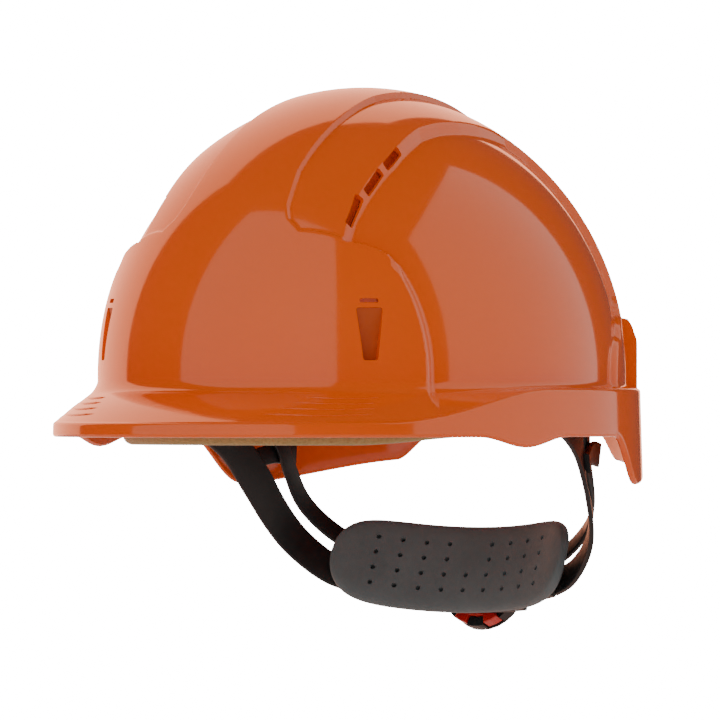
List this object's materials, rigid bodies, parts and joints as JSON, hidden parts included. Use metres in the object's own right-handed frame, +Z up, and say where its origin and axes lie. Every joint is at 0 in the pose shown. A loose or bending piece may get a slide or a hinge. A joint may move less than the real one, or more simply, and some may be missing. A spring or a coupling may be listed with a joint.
{
  "type": "forestry helmet",
  "caption": "Vented hard hat with a short peak, stepped crown ridge, textile crown cradle, foam sweatband and a swinging nape cradle adjusted by a ratchet knob.",
  "frame": {"origin": "centre of the head opening, on the symmetry plane, level with the lower edge of the peak", "axes": "+X to the wearer's left, +Y to the rear, +Z up; the peak points to -Y"},
  "size_m": [0.2152, 0.2823, 0.2227],
  "materials": {
    "shell": "glossy orange moulded shell",
    "black_plastic": "satin black moulded plastic",
    "textile": "black woven strap",
    "sweatband": "tan foam with a smooth brushed face",
    "nape_pad": "soft dark grey perforated pad",
    "knob": "red moulded plastic",
    "steel": "plain steel"
  },
  "bodies": {
    "shell_body": {"shell": "shell", "front_left_anchor": "black_plastic", "front_right_anchor": "black_plastic", "left_anchor": "black_plastic", "right_anchor": "black_plastic", "rear_left_anchor": "black_plastic", "rear_right_anchor": "black_plastic", "left_side_hanger": "black_plastic", "right_side_hanger": "black_plastic", "crown_strap_a": "textile", "crown_strap_b": "textile", "crown_strap_cross": "textile", "crown_patch": "textile"},
    "headband_body": {"headband": "black_plastic", "sweatband": "sweatband", "front_left_hook": "black_plastic", "front_right_hook": "black_plastic", "left_side_hook": "black_plastic", "right_side_hook": "black_plastic", "left_pivot_pin": "black_plastic", "right_pivot_pin": "black_plastic"},
    "cradle": {"nape_pad": "nape_pad", "left_pad_stud": "black_plastic", "right_pad_stud": "black_plastic", "ratchet_housing": "black_plastic", "ratchet_cover": "black_plastic", "click_spring": "steel", "axle_screw": "steel"},
    "left_arm_body": {"left_arm": "black_plastic", "left_strut": "black_plastic", "left_bridge": "black_plastic", "left_rack": "black_plastic"},
    "right_arm_body": {"right_arm": "black_plastic", "right_strut": "black_plastic", "right_bridge": "black_plastic", "right_rack": "black_plastic"},
    "knob": {"pinion": "black_plastic", "knob_wheel": "knob", "knob_grip": "black_plastic"}
  },
  "joints": [
    {"name": "headband_height", "type": "slide", "parent": "shell_body", "child": "headband_body", "axis": [0, 0, 1], "range_m": [-0.007, 0.007]},
    {"name": "nape_swing", "type": "hinge", "parent": "headband_body", "child": "cradle", "pos_m": [0, 0.008, 0.01], "axis": [1, 0, 0], "range_deg": [-10, 15]},
    {"name": "left_arm_slide", "type": "hinge", "parent": "cradle", "child": "left_arm_body", "pos_m": [0, -0.0049, -0.0225], "axis": [0, 0.3518, 0.9361], "range_deg": [-2.5, 5.7]},
    {"name": "right_arm_slide", "type": "hinge", "parent": "cradle", "child": "right_arm_body", "pos_m": [0, -0.0049, -0.0225], "axis": [0, 0.3518, 0.9361], "range_deg": [-5.7, 2.5]},
    {"name": "knob_turn", "type": "hinge", "parent": "cradle", "child": "knob", "pos_m": [0, 0.09244, -0.06197], "axis": [0, 0.9361, -0.3518], "range_deg": [-42, 95]}
  ],
  "couplings": [
    {"joint": "right_arm_slide", "follows": "left_arm_slide", "ratio": -1},
    {"joint": "knob_turn", "follows": "left_arm_slide", "ratio": 16.6}
  ]
}
